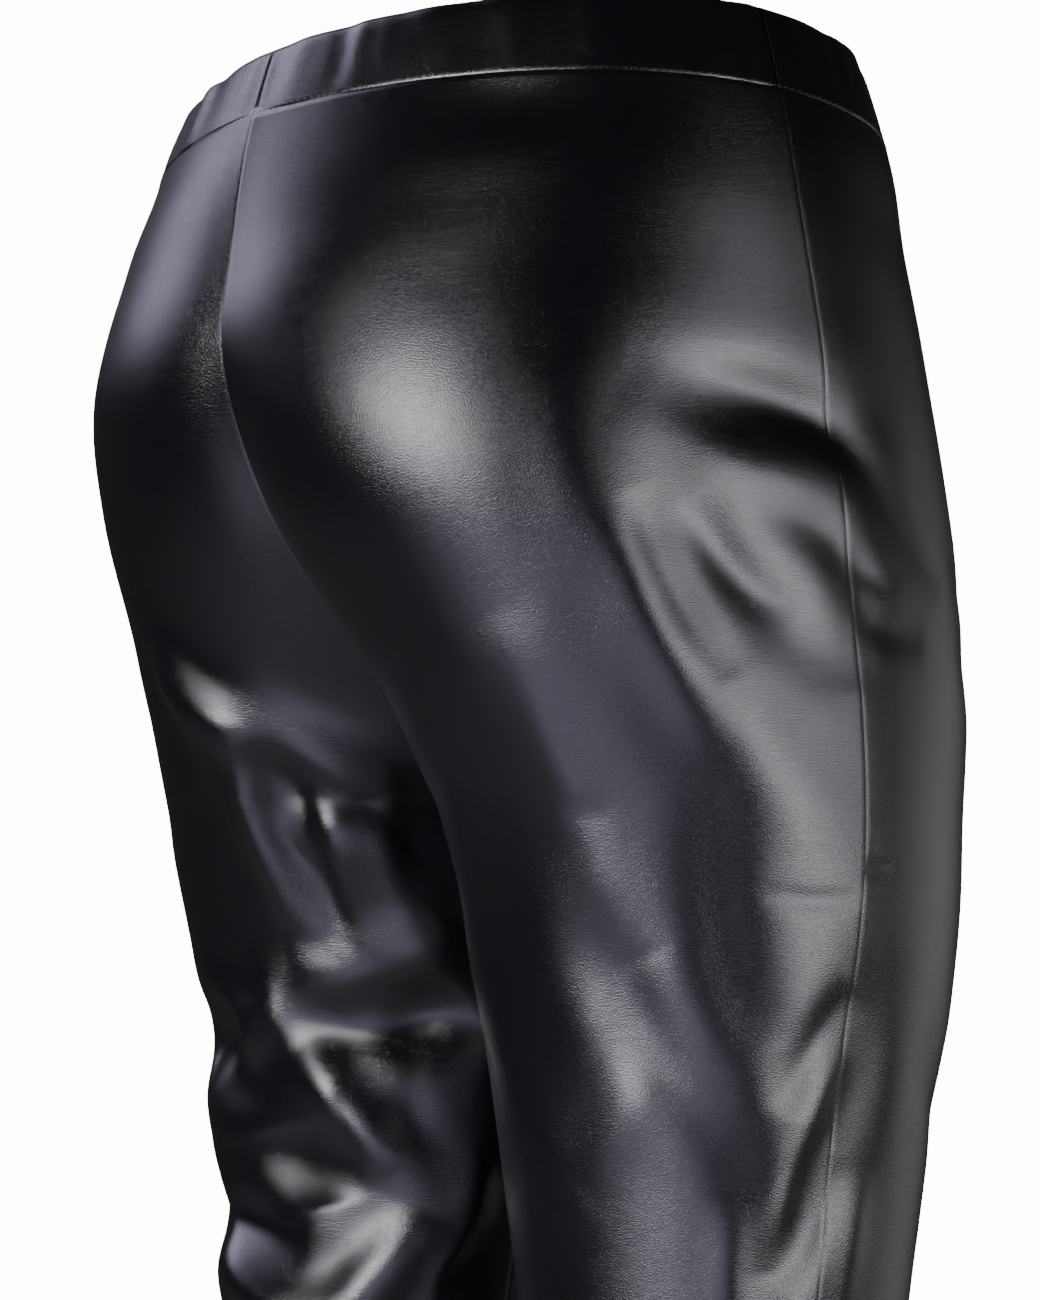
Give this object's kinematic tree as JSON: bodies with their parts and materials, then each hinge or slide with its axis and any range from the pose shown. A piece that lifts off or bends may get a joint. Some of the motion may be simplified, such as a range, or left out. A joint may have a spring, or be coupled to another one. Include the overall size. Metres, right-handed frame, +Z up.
{
  "type": "slim satin trousers, worn form",
  "caption": "Slim high-shine satin pull-on trousers with a stitched elastic waist casing, in the hollow form they have when worn.",
  "frame": {"origin": "middle of the waist opening at the top edge of the casing, where the wearer holds the trousers up", "axes": "+Z up, +Y the back of the trousers, +X the wearer's left"},
  "size_m": [0.358, 0.2609, 1.0114],
  "materials": {
    "satin": "glossy black satin with a fine woven grain",
    "casing_satin": "the same satin, stitched over elastic"
  },
  "bodies": {
    "root": {"panel_back_right": "satin", "panel_front_right": "satin", "panel_back_left": "satin", "panel_front_left": "satin", "casing_back_right": "casing_satin", "casing_front_right": "casing_satin", "casing_back_left": "casing_satin", "casing_front_left": "casing_satin"}
  },
  "joints": []
}
